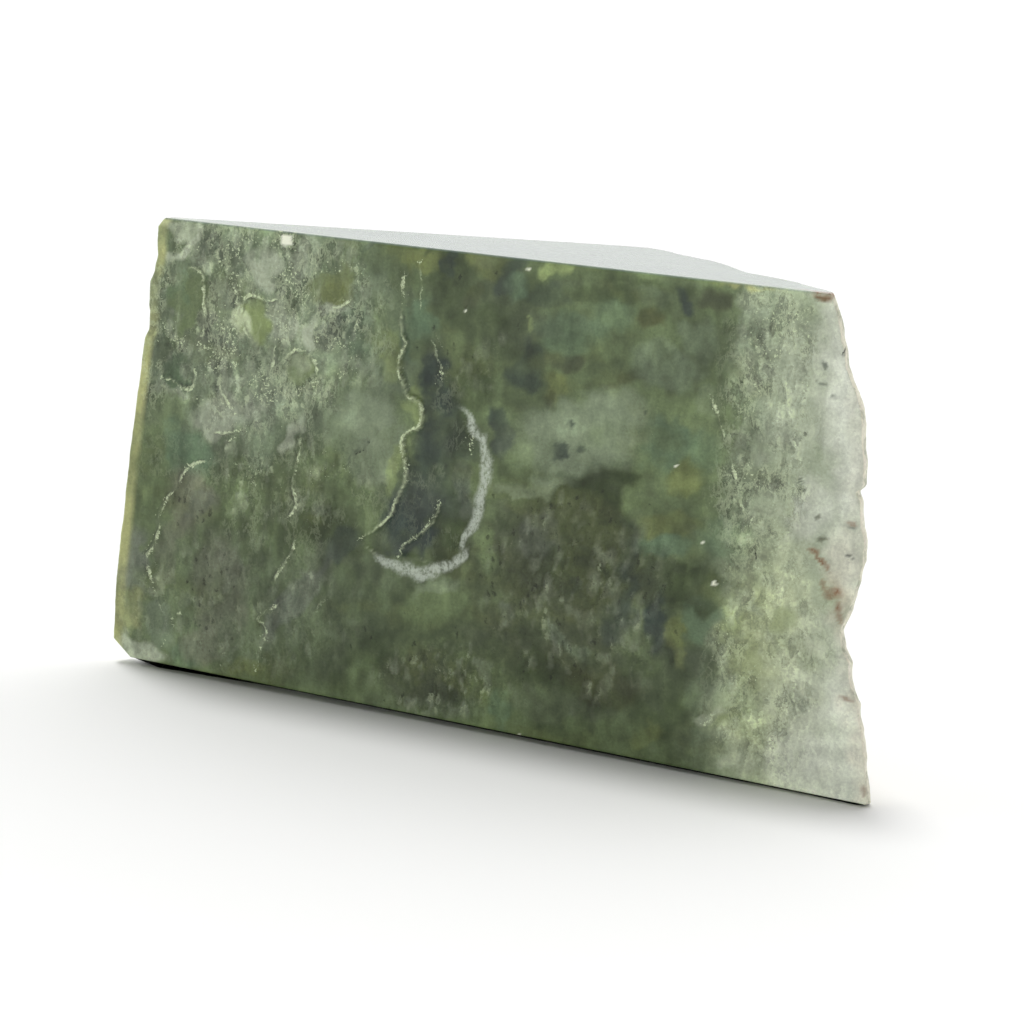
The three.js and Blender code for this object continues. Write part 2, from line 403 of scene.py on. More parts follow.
BROKEN = fields(
    (250, 320, 140, 120, 0, 1.0), (270, 470, 130, 90, 0, 0.45, 0.4), (220, 620, 130, 70, 0, 0.15, 0.4),
    (440, 450, 40, 110, 0, 0.35, 0.4), (768, 420, 50, 180, 6, 1.0, 0.4),
    (768, 660, 60, 120, 0, 1.0, 0.4),
)
SPECKLED = fields(
    (190, 500, 30, 34, 0, 0.75), (214, 592, 26, 50, 0, 0.85), (560, 590, 110, 105, 0, 0.7),
    (470, 320, 60, 60, 0, 0.25), (590, 330, 70, 50, 0, 0.2), (400, 660, 70, 50, 0, 0.5),
    (812, 410, 34, 100, 0, 0.15),
)
CRUMBLY = fields(
    (262, 320, 120, 105, 0, 0.85), (290, 450, 100, 70, 0, 0.45), (775, 420, 50, 180, 4, 0.7),
    (760, 660, 60, 120, 0, 0.55),
)
STAINED = fields(
    (826, 297, 13, 6, 10, 1.0), (814, 550, 6, 3, 10, 1.0), (823, 562, 2.2, 12, -35, 1.0),
    (833, 594, 9, 6, 0, 1.0), (824, 586, 2.5, 8, -20, 0.9), (839, 614, 3, 12, -14),
    (846, 700, 9, 1.8, 10, 0.9), (852, 524, 6, 3, 20, 0.7), (863, 790, 3, 6, 0, 0.6),
)

# Thin pale edges of flakes, and cracks where the tone is 0
LINES = (
    Line(((355, 546), (357, 538), (373, 531), (391, 516), (396, 498), (404, 485), (406, 473),
          (401, 447), (401, 439), (406, 432), (420, 429), (421, 409), (416, 399), (406, 397),
          (403, 381), (398, 372), (398, 359), (406, 344), (402, 338), (399, 326), (403, 296)), 0.95,
          1.5, 1.0, 14),
    Line(((237, 431), (229, 450), (219, 462), (207, 462), (195, 464), (183, 473), (175, 489),
          (165, 501), (159, 513), (157, 539), (148, 552), (144, 556), (151, 576), (157, 604),
          (169, 618), (162, 640), (166, 656)), 1.1, 0.4),
    Line(((170, 620), (183, 612)), 0.8, 0.1),
    Line(((211, 432), (224, 436), (238, 431), (244, 428)), 2.4),
    Line(((303, 432), (299, 440), (296, 462), (294, 480), (292, 491), (297, 501), (297, 510),
          (284, 521)), 1.4, 0.35),
    Line(((295, 528), (293, 556), (272, 578), (279, 584)), 0.9, 0.35),
    Line(((306, 581), (284, 602), (262, 614), (256, 620), (266, 624), (267, 636), (259, 652),
          (256, 672)), 1.0, 0.35),
    Line(((332, 594), (321, 602), (314, 614)), 1.3),
    Line(((224, 651), (221, 660), (223, 669)), 0.8, 0.2),
    Line(((182, 268), (198, 266), (205, 287), (205, 311), (201, 344)), 1.5, -0.4),
    Line(((162, 376), (174, 380), (180, 387), (193, 390), (195, 380), (193, 366)), 1.8, -0.6),
    Line(((252, 340), (246, 336), (240, 323), (240, 307), (249, 293), (258, 298), (270, 301),
          (282, 296)), 1.7, 0.4),
    Line(((280, 366), (289, 352), (305, 350), (317, 364), (317, 380)), 1.7, 0.4),
    Line(((275, 262), (279, 275), (276, 284)), 0.8, 0.2),
    Line(((372, 305), (364, 314), (356, 324), (352, 338)), 1.0),
    Line(((328, 306), (338, 312), (350, 300)), 1.0, 0.2),
    Line(((218, 336), (222, 356), (218, 384), (224, 402), (238, 416)), 0.9),
    Line(((278, 322), (276, 345), (272, 368), (264, 386)), 0.8, 0.25),
    Line(((400, 296), (404, 270), (402, 300)), 0.6, 0.1),
    Line(((421, 258), (422, 285), (419, 315)), 0.7, 0.2),
    Line(((428, 338), (433, 346), (437, 361), (443, 364), (441, 387)), 2.2, 0.2),
    Line(((441, 502), (433, 521), (428, 528), (408, 541), (400, 548), (399, 559)), 0.7, -0.9, 1.0, 7),
    Line(((474, 434), (468, 456)), 0.7, 0.2),
    Line(((386, 424), (374, 436), (362, 447), (352, 456), (346, 474)), 1.0, 0.2, 0.0),
    Line(((711, 391), (723, 432), (725, 443), (733, 468), (738, 500), (753, 528)), 1.8),
    Line(((757, 500), (756, 520), (755, 566)), 0.9, 0.2, 0.0),
    Line(((774, 286), (774, 310), (772, 344)), 1.8, 0.2, 0.25),
    Line(((775, 366), (787, 385), (790, 420)), 1.0, 0.2),
    Line(((790, 420), (787, 450), (784, 480)), 1.2, 0.2, 0.25),
    Line(((840, 358), (845, 352), (849, 348)), 0.9, 0.2, 0.0),
    Line(((700, 728), (712, 718), (722, 712)), 1.2, 0.2),
    Line(((794, 664), (793, 690), (797, 706)), 0.8, 0.2),
    Line(((728, 735), (752, 738), (776, 742), (783, 752)), 0.8, 0.2),
)

# The curved scuff left by a grinding wheel, in two strokes of pixels
SCUFFS = (
    Line(((453, 408), (467, 418), (477, 431), (484, 448), (486, 466), (484, 486), (478, 508),
          (470, 530), (461, 550), (456, 560)), 5.8),
    Line(((470, 548), (458, 561), (440, 569), (421, 573), (405, 571), (390, 565), (371, 554)), 6.2),
)

# White inclusions and chips: pixel place and half height
CHALK_SPOTS = (
    (287, 241, 4.3), (518, 735, 1.3), (527, 270, 1.2), (465, 311, 1.0), (704, 543, 1.0),
    (674, 467, 1.0), (714, 582, 1.5), (831, 304, 1.2),
)


def camera_axes():
    """Unit vectors of the picture: to its right, down it, and into it."""
    turn, dip, roll = CAMERA_TURN, CAMERA_DIP, CAMERA_ROLL
    into = np.array([-math.sin(turn) * math.cos(dip), math.cos(turn) * math.cos(dip), -math.sin(dip)])
    level = np.array([math.cos(turn), math.sin(turn), 0])
    plumb = np.cross(into, level)
    right = math.cos(roll) * level - math.sin(roll) * plumb
    down = math.sin(roll) * level + math.cos(roll) * plumb
    return right, down, into


def seen_at(points):
    """Pixel where the camera sees each point: its offset over its distance, times the focal length."""
    right, down, into = camera_axes()
    ray = points - np.array(CAMERA_PLACE)
    scale = FOCAL_PX / (ray @ into)
    return np.stack([ray @ right * scale, ray @ down * scale], -1) + FRAME_PX / 2


def smooth(low, high, value):
    """Rises from 0 at low to 1 at high with level ends."""
    share = np.clip((value - low) / (high - low), 0, 1)
    return share * share * (3 - 2 * share)


def noise(points, spacing, seed):
    """Smooth noise between -1 and 1: a random value at each corner of a cubic lattice, blended between."""
    cell = points / spacing + SEED_STEP * seed
    corner = np.floor(cell)
    blend = smooth(0, 1, cell - corner)
    total = np.zeros(points.shape[:-1])
    for step in itertools.product((0, 1), repeat=3):
        key = np.sin((corner + step) @ np.array(HASH_WEIGHTS)) * HASH_GAIN
        weight = np.where(step, blend, 1 - blend).prod(-1)
        total += weight * (key - np.floor(key))
    return 2 * total - 1


def clouds(points, spacing, octaves, seed):
    """Layers of noise, each half the spacing and a little over half the strength of the one before."""
    layers = [CLOUD_FADE ** i * noise(points, spacing / 2 ** i, seed + i) for i in range(octaves)]
    return np.sum(layers, 0)


def sway(points, spacing, octaves, seed):
    """A shift across and down, from two layers of clouds."""
    return np.stack([clouds(points, spacing, octaves, seed + more) for more in (0, 10)], -1)


def rounded_min(first, second, rounding):
    """The smaller of two depths, with the corner where they cross worn round."""
    share = np.clip(0.5 + 0.5 * (second - first) / rounding, 0, 1)
    return second + (first - second) * share - rounding * share * (1 - share)


def back_cut_depth(sizes, along, up):
    """Depth to the back saw cut: a plane that starts at the left edge and leans with height."""
    from_cut = along - sizes.back_cut_lean / MM * up / HEIGHT
    return sizes.left_thickness / MM + sizes.back_cut_slope * np.maximum(0, from_cut)


def rind_depth(sizes, along, up):
    """Depth to the rind: a slope from the right edge, swollen at half height, with crossed waves."""
    from_rind = LENGTH - np.interp(up, *zip(*RIGHT_INSETS)) - along
    slope = sizes.rind_slope_foot + (sizes.rind_slope_top - sizes.rind_slope_foot) * up / HEIGHT
    swell = sizes.rind_bulge / MM * np.sin(np.pi * up / HEIGHT)
    turn = 2 * np.pi / (sizes.rind_lump_length / MM)
    lumps = np.sin(turn * (along + 0.6 * up)) * np.sin(0.7 * turn * (up - 0.4 * along) + 1)
    lumps = lumps + 0.6 * np.sin(1.7 * turn * (up + 0.25 * along)) * np.sin(1.3 * turn * along + 2)
    fade = smooth(0, sizes.rind_lump_length / MM / 2, from_rind)
    return sizes.right_thickness / MM + slope * from_rind + fade * (swell + sizes.rind_lump / MM * lumps)


def ring_columns():
    """Share along and share back of each column: front, right edge, back and left edge in turn."""
    front = np.interp(np.arange(FRONT_COLUMNS), (0, ROUGH_COLUMNS, FRONT_COLUMNS), (0, ROUGH_SHARE, 1))
    edge = np.arange(EDGE_COLUMNS) / EDGE_COLUMNS
    rear = np.arange(BACK_COLUMNS) / BACK_COLUMNS
    along = np.concatenate([front, np.ones(EDGE_COLUMNS), 1 - rear, np.zeros(EDGE_COLUMNS)])
    back = np.concatenate([np.zeros(FRONT_COLUMNS), edge, np.ones(BACK_COLUMNS), 1 - edge])
    return along, back


def chain(points):
    """Cuts the corners of an open line twice, so that it bends as a crack does."""
    line = np.array(points, float)
    for _ in range(2):
        cut = np.stack([0.75 * line[:-1] + 0.25 * line[1:], 0.25 * line[:-1] + 0.75 * line[1:]], 1)
        line = np.concatenate([line[:1], cut.reshape(-1, 2), line[-1:]])
    return line


def beside(pixels, points):
    """Signed distance of each pixel to a line, positive on the right of its course, and share along it."""
    line = chain(points)
    legs = np.diff(line, axis=0)
    lengths = np.linalg.norm(legs, axis=1)
    starts = np.concatenate([[0], np.cumsum(lengths)[:-1]])
    signed = np.full(len(pixels), FAR_PX)
    share = np.zeros(len(pixels))
    near = np.all((pixels > line.min(0) - FAR_PX) & (pixels < line.max(0) + FAR_PX), 1)
    beside_it = pixels[near]
    distance = np.full(len(beside_it), FAR_PX)
    side = np.ones(len(beside_it))
    part = np.zeros(len(beside_it))
    for begin, leg, length, start in zip(line[:-1], legs, lengths, starts):
        offset = beside_it - begin
        reach = np.clip(offset @ leg / length ** 2, 0, 1)
        away = np.linalg.norm(offset - reach[:, None] * leg, axis=1)
        closer = away < distance
        distance = np.where(closer, away, distance)
        side = np.where(closer, np.where(leg[0] * offset[:, 1] < leg[1] * offset[:, 0], -1, 1), side)
        part = np.where(closer, (start + reach * length) / lengths.sum(), part)
    signed[near] = distance * side
    share[near] = part
    return signed, share


def taper(share):
    """1 along the middle of a line, falling to 0 at both ends."""
    return smooth(0, 0.12, share) * smooth(1, 0.88, share)


def spread(pixels, patch):
    """How strongly a patch covers each pixel: an ellipse that fades across its edge."""
    tilt = math.radians(patch.tilt)
    across = pixels[:, 0] - patch.x
    down = pixels[:, 1] - patch.y
    first = (across * math.cos(tilt) + down * math.sin(tilt)) / patch.half_x
    second = (down * math.cos(tilt) - across * math.sin(tilt)) / patch.half_y
    return patch.strength * smooth(1 + patch.soft, 1 - patch.soft, np.hypot(first, second))


def covered(pixels, patches):
    """The strongest cover of several patches."""
    return np.max([spread(pixels, patch) for patch in patches], 0)


def gritty(points, pixels):
    """How crushed the stone is: strong in the gritty fields, weak on the plates, in drifts 6 mm long."""
    drift = np.clip(0.75 + 0.9 * clouds(points, 6, 3, 50), 0, 1.3)
    return np.clip(covered(pixels, GRITTY) * (1 - covered(pixels, PLATES)) * drift, 0, 1)


def terraces(points, spacing, levels, seed):
    """Flat steps with steep edges: a noise rounded down to levels, the last fifth of each a slope."""
    field = levels * clouds(points, spacing, 5, seed)
    whole = np.floor(field)
    return whole + smooth(0.8, 1, field - whole)


def front_relief(sizes, points, pixels):
    """Height of the sawn front over its plane: flaky steps, the drop beside each line, and the scuff."""
    bent = points * np.array([1, 1, 0.55])
    bent = bent + 2.5 * np.stack([clouds(points, 8, 3, 42), 0 * points[:, 0], clouds(points, 8, 3, 43)], -1)
    broken = covered(pixels, BROKEN)
    flakes = terraces(bent, 26, 2, 40) + 0.5 * terraces(bent, 12, 2, 44) + 0.4 * clouds(bent, 4, 3, 52)
    height = sizes.flake_step / MM * broken * flakes
    height += sizes.plate_lift / MM * covered(pixels, PLATES)
    for line in LINES:
        signed, share = beside(pixels, line.points)
        inside = np.sign(line.step) * signed * PX_MM
        drop = smooth(-0.2, 0.8, inside) * np.exp(-np.maximum(inside, 0) / line.reach)
        drop *= smooth(FAR_PX, 0.4 * FAR_PX, np.abs(signed))
        height -= abs(line.step) * taper(share) * drop
    for line in SCUFFS:
        signed, share = beside(pixels, line.points)
        height -= sizes.scuff_depth / MM * taper(share) * np.exp(-(signed / line.half) ** 2)
    edge = smooth(0, 3, points[:, 2]) * smooth(HEIGHT, HEIGHT - 2.5, points[:, 2])
    return np.clip(height, -3, 1) * edge


def blurred(field, rounds):
    """Averages a grid with its neighbours, one, two, one along each way, a number of times over."""
    for _ in range(rounds):
        padded = np.pad(field, 1, "edge")
        field = (padded[:-2, 1:-1] + 2 * field + padded[2:, 1:-1]) / 4
        padded = np.pad(field, 1, "edge")
        field = (padded[1:-1, :-2] + 2 * field + padded[1:-1, 2:]) / 4
    return field


def foot_gap(sizes, along, back):
    """Height of the worn gap under the foot: highest at the left end of the front, low at the back."""
    gap = sizes.foot_gap + (sizes.foot_gap_right - sizes.foot_gap) * along / LENGTH
    return gap / MM * (1 - FOOT_GAP_FALL * back)


def broken_corner(sizes, along):
    """Height of the foot where the lower left corner is broken off at a slant."""
    return sizes.corner_height / MM * np.maximum(0, 1 - along / (sizes.corner_length / MM))


def wall_points(sizes):
    """The wall as rows of rings: the front plane, the back cut and rind behind it, and two thin edges."""
    along, back = ring_columns()
    up = np.linspace(0, HEIGHT, WALL_ROWS + 1)[:, None]
    level = np.concatenate([0 * up, 0 * up, up], 1)[:, None]
    chips = sizes.edge_chips / MM * clouds(level, 7, 3, 3)
    left = np.interp(up, *zip(*LEFT_INSETS)) + 0.6 * np.abs(chips)
    right = LENGTH - np.interp(up, *zip(*RIGHT_INSETS)) - np.abs(chips)
    place = left + along * (right - left)
    rise = np.broadcast_to(up, place.shape)
    cut = back_cut_depth(sizes, place, rise)
    rind = rind_depth(sizes, place, rise)
    depth = rounded_min(cut, rind, sizes.ridge_rounding / MM)
    low = np.maximum(foot_gap(sizes, place, back), broken_corner(sizes, place))
    points = np.stack([place, back * depth, low + rise * (1 - low / HEIGHT)], -1)
    on_rind = smooth(-2, 6, cut - rind) * (back == 1) + (along == 1) * (back > 0) * (back < 1)
    knobs = clouds(points, 14, 4, 7) - 0.6 * np.abs(clouds(points, 9, 3, 17))
    push = sizes.rind_pits / MM * on_rind * knobs
    points[..., 1] += push * 0.75
    points[..., 0] += push * 0.5 * (back > 0)
    on_edge = (along == 0) * (back > 0) * (back < 1)
    points[..., 0] += on_edge * sizes.edge_chips / MM * clouds(points, 5, 3, 23)
    return points, on_rind


def cap_rings(rim, rim_width):
    """Rings that close a flat end: one inside the worn rim, then smaller ones towards the middle."""
    course = np.roll(rim, -1, 0) - np.roll(rim, 1, 0)
    inward = np.stack([-course[:, 1], course[:, 0], 0 * course[:, 0]], -1)
    inward /= np.linalg.norm(inward, axis=1, keepdims=True)
    inner = rim + rim_width * inward
    middle = inner.mean(0)
    return np.stack([middle + (inner - middle) * (1 - share) for share in CAP_SHARES]), middle


def worn(grid, columns, rows):
    """Blurs the grid across its corner columns and rim rows only, which wears those edges round."""
    for _ in range(2):
        sideways = (np.roll(grid, 1, 1) + 2 * grid + np.roll(grid, -1, 1)) / 4
        grid[:, columns] = sideways[:, columns]
        upright = grid.copy()
        upright[1:-1] = (grid[:-2] + 2 * grid[1:-1] + grid[2:]) / 4
        grid[rows] = upright[rows]
    return grid


def block_grid(sizes):
    """The whole surface as rows of rings, with the two middle points that close the foot and the top."""
    wall, on_rind = wall_points(sizes)
    front = slice(0, FRONT_COLUMNS + 1)
    flat = wall[:, front].reshape(-1, 3)
    relief = front_relief(sizes, flat, seen_at(flat)).reshape(wall[:, front].shape[:2])
    wall[:, front, 1] -= relief
    proud = np.zeros(on_rind.shape)
    # how far the front stands above its neighbours, which drives a painted highlight on raised relief and
    # painted shade in its hollows
    proud[:, front] = relief - blurred(relief, 2)
    back = ring_columns()[1][:, None]
    foot, foot_middle = cap_rings(wall[0], FOOT_GAP_RUN * foot_gap(sizes, wall[0, :, :1], back))
    foot[..., 2] = broken_corner(sizes, foot[..., 0])
    foot[0, :, 2] = wall[0, :, 2]
    foot_middle[2] = 0
    top, top_middle = cap_rings(wall[-1], sizes.rim / MM)
    grid = np.concatenate([foot[::-1], wall, top])
    corners = np.cumsum([0, FRONT_COLUMNS, EDGE_COLUMNS, BACK_COLUMNS])
    near = np.unique(np.concatenate([corners - 1, corners, corners + 1]) % grid.shape[1])
    rims = np.array([len(foot), len(foot) + WALL_ROWS])
    grid = worn(grid, near, rims)
    cap = np.zeros((len(foot), grid.shape[1]))
    # 1 on the foot, which is painted near black as painted shade in the gap under the stone
    under = np.append(np.concatenate([cap + 1, 0 * proud, cap]), [1, 0])
    marks = [np.append(np.concatenate([cap, values, cap]), [0, 0]) for values in (on_rind, proud)] + [under]
    return grid, np.stack([foot_middle, top_middle]), marks


def grid_faces(rows, columns):
    """Quads between neighbouring rings, and triangles from the end rings to the two middle points."""
    index = np.arange(rows * columns).reshape(rows, columns)
    beyond = np.roll(index, -1, 1)
    quads = np.stack([index[:-1], beyond[:-1], beyond[1:], index[1:]], -1).reshape(-1, 4)
    foot = np.stack([beyond[0], index[0], np.full(columns, rows * columns)], -1)
    top = np.stack([index[-1], beyond[-1], np.full(columns, rows * columns + 1)], -1)
    return quads, np.concatenate([foot, top])


def on_top(points):
    """1 on the sawn top, falling to 0 just below its rim."""
    return smooth(HEIGHT - 0.6, HEIGHT - 0.1, points[:, 2])


def body_colour(colours, points, pixels, grit, rind, proud, under):
    """Colour of the stone: a moss ground, the patches, clouds, crushed stone, a painted highlight on raised
    relief and painted shade in its hollows, painted light through the thin left edge, painted light along
    the rims, the top with its painted reflection and dry bloom, the rind, and the foot painted near black as
    shade."""
    shade = {name: np.array(getattr(colours, name)) for name in colours.bl_rna.properties.keys()[2:]}
    tint = np.tile(shade["moss"], (len(points), 1))

    def towards(tone, cover):
        """Moves the tint towards a tone, as far as the cover shows at each point."""
        tint[:] += cover[:, None] * (tone - tint)

    drift = clouds(points, 30, 4, 60)
    towards(shade["fern"], smooth(-0.1, 0.5, drift))
    towards(shade["forest"], smooth(0.1, 0.7, -drift))
    patchy = np.clip(0.95 + 0.4 * clouds(points, 9, 4, 62), 0.5, 1)
    patchy *= 1 - 0.45 * smooth(5, 30, points[:, 1])
    for patch in PATCHES:
        towards(shade[patch.colour], patchy * spread(pixels, patch))
    flow = smooth(380, 450, pixels[:, 0])
    upright = np.array([1, 1, 0.5])
    slanting = np.array([[0.55, 0, 0.12], [0, 1, 0], [-0.2, 0, 1]])
    cloud = clouds(points * upright, 8, 5, 64) * (1 - flow) + clouds(points @ slanting, 8, 5, 65) * flow
    calm = (1 - 0.6 * covered(pixels, PLATES)) * (1 - 0.55 * smooth(730, 830, pixels[:, 0]))
    calm *= 1 - 0.6 * smooth(3, 8, points[:, 1])
    tint *= np.exp(0.36 * calm * cloud)[:, None]
    warm = calm * clouds(points @ slanting, 13, 4, 66)
    towards(shade["olive"], 0.25 * smooth(0.1, 0.8, warm))
    towards(shade["ash"], 0.15 * smooth(0.1, 0.8, -warm))
    crushed = clouds(points * upright, 2.6, 3, 68)
    towards(shade["mist"], 0.35 * (grit * smooth(0.05, 0.6, crushed)))
    towards(shade["ash"], 0.2 * (grit * smooth(0.05, 0.6, -crushed)))
    # painted highlight on raised relief and painted shade in its hollows
    towards(shade["lip"], 0.4 * smooth(0.03, 0.3, proud))
    towards(shade["slate"], 0.35 * smooth(0.03, 0.3, -proud))
    tint *= (1 + 0.27 * calm * clouds(points * upright, 3.5, 3, 72))[:, None]
    # painted light that comes through the thin left edge
    thin = smooth(5, 2.2, points[:, 0] - np.interp(points[:, 2], *zip(*LEFT_INSETS)))
    thin *= np.clip(0.8 + 0.5 * clouds(points, 10, 3, 74), 0.3, 1)
    towards(shade["straw"], 0.9 * thin)
    # painted light: the front made brighter along the foot and along the top edge
    rims = np.exp(-np.maximum(points[:, 2] - 2, 0) / 5) + np.exp((points[:, 2] - HEIGHT) / 3.5)
    tint *= (1 + 0.5 * (points[:, 1] < FRONT_MM) * rims)[:, None]
    # the sawn top: painted reflection of the bright surround, together with its dry bloom
    towards(shade["haze"], 0.75 * on_top(points))
    skin = smooth(6, 30, points[:, 1] + 8 * clouds(points, 24, 2, 76))[:, None]
    weathered = shade["crust"] + skin * (shade["tan"] - shade["crust"])
    towards(weathered, rind)
    # painted shade: the foot and the gap under it made near black
    towards(shade["speck"], under)
    return np.clip(tint, 0.005, 1)


def line_marks(points, pixels, on_front):
    """Distance of each point of the front to the nearest line, more than 0 on its low side, and that
    line's half width and tone."""
    offset = np.full(len(pixels), FAR_PX)
    half = np.zeros(len(pixels))
    tone = np.ones(len(pixels))
    thickness = np.clip(0.65 + 1.1 * clouds(points, 2.6, 2, 120), 0.2, 1.6)
    thickness *= 0.35 + 0.65 * smooth(-0.45, 0.25, clouds(points, 9, 2, 122))
    for line in LINES:
        signed, share = beside(pixels, line.points)
        width = on_front * 0.7 * line.half * taper(share) * thickness * (np.abs(signed) < 8)
        closer = (np.abs(signed) < np.abs(offset)) & (width > 0)
        offset = np.where(closer, np.sign(line.step) * signed, offset)
        half = np.where(closer, width, half)
        tone = np.where(closer, line.tone, tone)
    return offset, half, tone


def scuffed(pixels):
    """How much stone dust lies on each pixel: wide in the middle of each stroke and thin at its ends."""
    cover = np.zeros(len(pixels))
    for line in SCUFFS:
        signed, share = beside(pixels, line.points)
        half = line.half * (0.3 + 0.7 * np.sin(np.pi * share))
        cover = np.maximum(cover, smooth(1.3, 0.3, np.abs(signed) / half) * taper(share))
    return cover


def paint(mesh, colours, points, on_rind, proud, under):
    """Stores on each vertex the body colour and how far each mark and fine pattern shows there."""
    on_front = (points[:, 1] < FRONT_MM) * 1.0
    behind = smooth(5, 30, points[:, 1])[:, None]
    sheared = points + points[:, 1:2] * np.array([0.35, 0, -0.5])
    sheared[:, 1] = 0
    pixels = seen_at(sheared)
    shift = sway(points, 16, 5, 80)
    flicker = sway(points, 5, 3, 84)
    swing = sway(points, 24, 2, 170)
    warped = pixels + (1 - behind) * (9 * shift + 6 * flicker) + 50 * behind * swing
    ragged = pixels + 1.8 * sway(points, 4, 2, 100)
    offset, half, tone = line_marks(points, ragged, on_front)
    top = on_top(points)
    grit = gritty(points, warped) * (1 - 0.8 * top)
    aside = [np.maximum(np.abs(ragged[:, 0] - x) / 1.3, np.abs(ragged[:, 1] - y)) / half_height
             for x, y, half_height in CHALK_SPOTS]
    clusters = np.clip(0.5 + 1.2 * clouds(points, 5, 3, 140), 0, 1.2)
    plates = covered(warped, PLATES)
    beside_lines = np.exp(-np.abs(offset) / 5) * (half > 0)
    crumbs = clusters * np.maximum(covered(warped, CRUMBLY) * (1 - plates), beside_lines)
    iron = 0.65 + 0.35 * smooth(-0.1, 0.4, clouds(points, 4, 3, 130))
    spots = covered(ragged, STAINED) * on_front * iron
    skin = on_rind * smooth(0, 0.6, swing[:, 0]) * smooth(6, 24, points[:, 1])
    creased = covered(warped, BROKEN) * (1 - plates) * smooth(-0.3, 0.4, clouds(points, 8, 3, 160))
    marks = {
        "line_offset": offset,
        "line_half": half,
        "line_tone": tone,
        "scuff": on_front * scuffed(ragged + 2 * flicker),
        "chalk": on_front * smooth(1.3, 0.8, np.min(aside, 0)),
        "gritty": grit,
        "speckled": covered(warped, SPECKLED),
        "crumbly": crumbs,
        "stained": spots + 0.3 * skin,
        "rind": on_rind,
        "creased": on_front * creased,
        "behind": behind[:, 0] * (1 - on_rind) * (1 - 0.75 * top),
        "top": top,
    }
    for name, values in marks.items():
        mesh.attributes.new(name, "FLOAT", "POINT").data.foreach_set("value", values.astype(np.float32))
    tint = body_colour(colours, points, warped, grit, on_rind, proud, under)
    tint = np.concatenate([tint, np.ones((len(points), 1))], 1)
    body = mesh.attributes.new("body", "FLOAT_COLOR", "POINT")
    body.data.foreach_set("color", tint.astype(np.float32).ravel())


def mesh_from_arrays(name, points, quads, triangles):
    """A mesh of quads and triangles, with smooth shading."""
    mesh = bpy.data.meshes.new(name)
    mesh.vertices.add(len(points))
    mesh.vertices.foreach_set("co", points.astype(np.float32).ravel())
    corners = np.concatenate([quads.ravel(), triangles.ravel()])
    starts = np.concatenate([np.arange(len(quads)) * 4, quads.size + np.arange(len(triangles)) * 3])
    mesh.loops.add(len(corners))
    mesh.loops.foreach_set("vertex_index", corners.astype(np.int32))
    mesh.polygons.add(len(starts))
    mesh.polygons.foreach_set("loop_start", starts.astype(np.int32))
    mesh.update(calc_edges=True)
    mesh.validate()
    mesh.shade_smooth()
    return mesh


def add(tree, kind, inputs=None, output=0, **settings):
    """Adds a shader node with its settings, fills its inputs with values or links, and gives one output."""
    node = tree.nodes.new("ShaderNode" + kind)
    for name, value in settings.items():
        setattr(node, name, value)
    for name, value in (inputs or {}).items():
        if isinstance(value, bpy.types.NodeSocket):
            tree.links.new(value, node.inputs[name])
        else:
            node.inputs[name].default_value = value
    return node.outputs[output]


def per_mm(millimetres):
    """Scale of a texture whose features are about this long, on coordinates in metres."""
    return 1 / (millimetres * MM)


